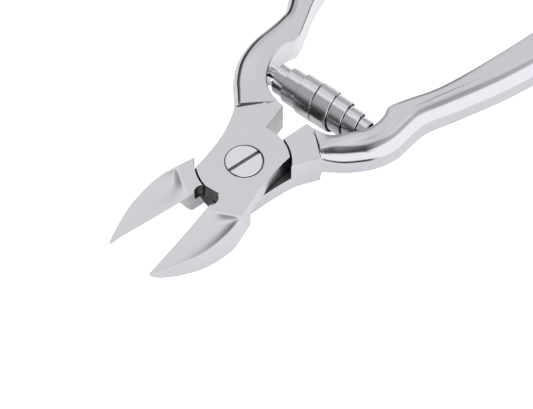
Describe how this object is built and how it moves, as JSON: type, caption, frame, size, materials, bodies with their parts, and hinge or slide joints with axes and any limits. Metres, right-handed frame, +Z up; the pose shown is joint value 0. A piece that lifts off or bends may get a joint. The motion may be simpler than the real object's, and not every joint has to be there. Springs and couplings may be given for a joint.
{
  "type": "nail nipper",
  "caption": "Plier-type nail clipper in polished steel: crossed levers in a lap joint with curved hollow-ground jaws, slotted screw and barrel spring.",
  "frame": {"origin": "on the pivot axis, in the plane of the underside of the lap joint", "axes": "+X from the pivot to the handles, +Y towards the front lever's handle, +Z up, out of the screw's slotted head"},
  "size_m": [0.1379, 0.0576, 0.0088],
  "materials": {
    "polished_steel": "mirror-polished stainless steel, joint faces fine satin",
    "satin_steel": "fine satin stainless steel",
    "spring_steel": "bright polished spring strip"
  },
  "bodies": {
    "front_lever": {"front_lever": "polished_steel", "front_spring_pin": "satin_steel"},
    "back_lever": {"back_lever": "polished_steel", "pivot_screw": "satin_steel", "back_spring_pin": "satin_steel"},
    "spring": {"barrel_spring": "spring_steel"}
  },
  "joints": [
    {"name": "jaw_pivot", "type": "hinge", "parent": "front_lever", "child": "back_lever", "pos_m": [0, 0, 0], "axis": [0, 0, 1], "range_deg": [0, 17.6], "stiffness_Nm_per_rad": 0.8, "springref_deg": -6.88, "deforming": ["barrel_spring"]},
    {"name": "spring_swing", "type": "hinge", "parent": "front_lever", "child": "spring", "pos_m": [0, 0, 0], "axis": [0, 0, 1], "range_deg": [0, 8.8]}
  ],
  "couplings": [
    {"joint": "spring_swing", "follows": "jaw_pivot", "ratio": 0.5}
  ]
}
